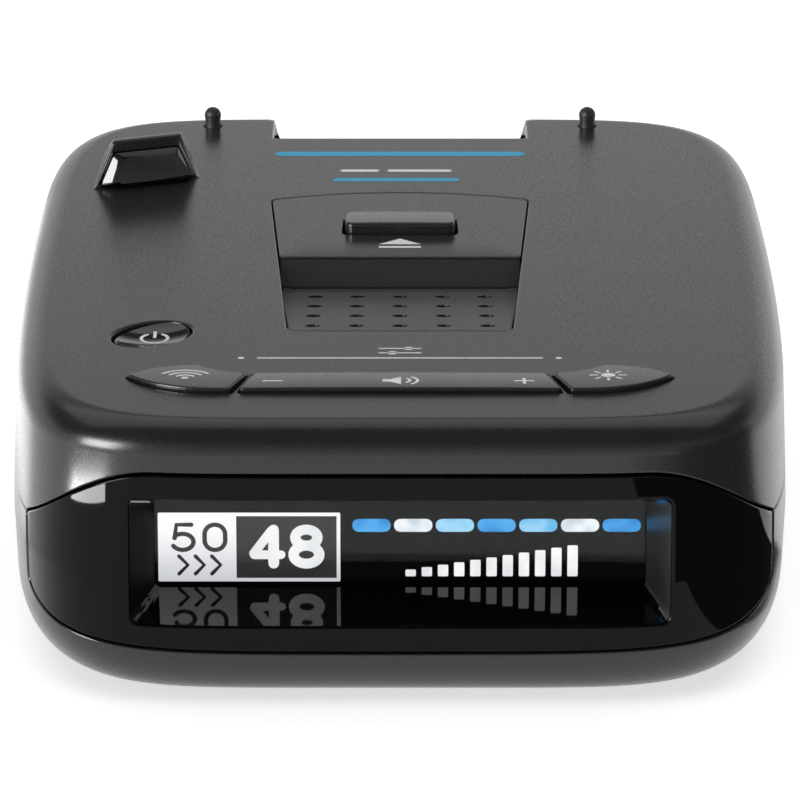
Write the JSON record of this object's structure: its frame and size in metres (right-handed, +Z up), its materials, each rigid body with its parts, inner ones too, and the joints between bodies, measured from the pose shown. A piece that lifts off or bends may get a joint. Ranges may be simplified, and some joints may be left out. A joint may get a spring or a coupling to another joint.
{
  "type": "radar detector",
  "caption": "Dashboard radar detector with a recessed glossy display, top keys, a rear laser pod, and a mount slot with a sprung release latch.",
  "frame": {"origin": "on the table, under the middle of the case's bounding box", "axes": "+Z up; the display faces -Y; the radar horn and the mount slot face +Y; +X is to the right when the display is read"},
  "size_m": [0.075, 0.1123, 0.0313],
  "materials": {
    "case_plastic": "satin moulded dark grey",
    "lower_case_plastic": "satin moulded dark grey",
    "gloss_black": "polished black",
    "key_plastic": "satin dark grey, light printed marks",
    "black_plastic": "fine moulded black",
    "radome_plastic": "satin black, radar clear",
    "laser_filter": "polished infrared filter, near black",
    "clear_window": "clear acrylic, polished",
    "display_glass": "black display glass with lit segments",
    "rubber_black": "smooth black rubber",
    "circuit_board": "green solder mask over glass fibre",
    "cast_zinc": "die cast, fine grained",
    "tinned_steel": "tinned sheet",
    "spring_steel": "drawn wire",
    "gold_contact": "gold plated",
    "speaker_paper": "pressed black paper",
    "ferrite": "dark sintered ferrite",
    "foam": "closed cell foam",
    "polyimide": "amber flexible film",
    "label_film": "blank satin film",
    "acetal": "natural acetal",
    "key_gloss": "polished black, light printed icon"
  },
  "bodies": {
    "housing": {"top_cover": "case_plastic", "bottom_case": "lower_case_plastic", "front_bezel": "gloss_black", "release_panel": "case_plastic", "mount_channel": "black_plastic", "radome_panel": "radome_plastic", "front_laser_lens": "laser_filter", "rear_laser_lens": "gloss_black", "bumper_pegs": "rubber_black", "display_lens": "clear_window", "display_panel": "display_glass", "display_board": "circuit_board", "display_holder": "black_plastic", "key_board": "circuit_board", "key_switches": "tinned_steel", "main_board": "circuit_board", "horn_antenna": "cast_zinc", "rf_shield": "tinned_steel", "speaker_basket": "tinned_steel", "speaker_cone": "speaker_paper", "speaker_magnet": "ferrite", "speaker_gasket": "foam", "front_laser_diode": "black_plastic", "rear_laser_board": "circuit_board", "rear_laser_diode": "black_plastic", "power_jack": "black_plastic", "power_contacts": "gold_contact", "earphone_jack": "black_plastic", "usb_port": "tinned_steel", "ribbon_cable": "polyimide", "rating_label": "label_film", "case_screws": "spring_steel", "channel_screws": "spring_steel", "key_board_screws": "spring_steel"},
    "power_key": {"power_button": "key_gloss", "power_plunger": "black_plastic"},
    "left_key": {"left_button": "key_plastic", "left_plunger": "black_plastic"},
    "right_key": {"right_button": "key_plastic", "right_plunger": "black_plastic"},
    "mute_carrier": {"key_carrier": "acetal", "mute_plunger": "black_plastic"},
    "rocker": {"volume_rocker": "key_plastic", "rocker_plungers": "black_plastic"},
    "release": {"release_button": "key_plastic", "mount_latch": "acetal", "latch_spring": "spring_steel"}
  },
  "joints": [
    {"name": "power_press", "type": "slide", "parent": "housing", "child": "power_key", "axis": [0, 0, -1], "range_m": [0, 0.00035], "stiffness_N_per_m": 120},
    {"name": "left_press", "type": "slide", "parent": "housing", "child": "left_key", "axis": [0, 0, -1], "range_m": [0, 0.00035], "stiffness_N_per_m": 120},
    {"name": "right_press", "type": "slide", "parent": "housing", "child": "right_key", "axis": [0, 0, -1], "range_m": [0, 0.00035], "stiffness_N_per_m": 120},
    {"name": "mute_press", "type": "slide", "parent": "housing", "child": "mute_carrier", "axis": [0, 0, -1], "range_m": [0, 0.0003], "stiffness_N_per_m": 120},
    {"name": "rocker_tilt", "type": "hinge", "parent": "mute_carrier", "child": "rocker", "pos_m": [0, -0.043, 0.0244], "axis": [0, 1, 0], "range_deg": [-1.5, 1.5], "stiffness_Nm_per_rad": 0.01},
    {"name": "release_press", "type": "slide", "parent": "housing", "child": "release", "axis": [0, 0, -1], "range_m": [0, 0.0018], "stiffness_N_per_m": 250, "deforming": ["latch_spring"]}
  ]
}
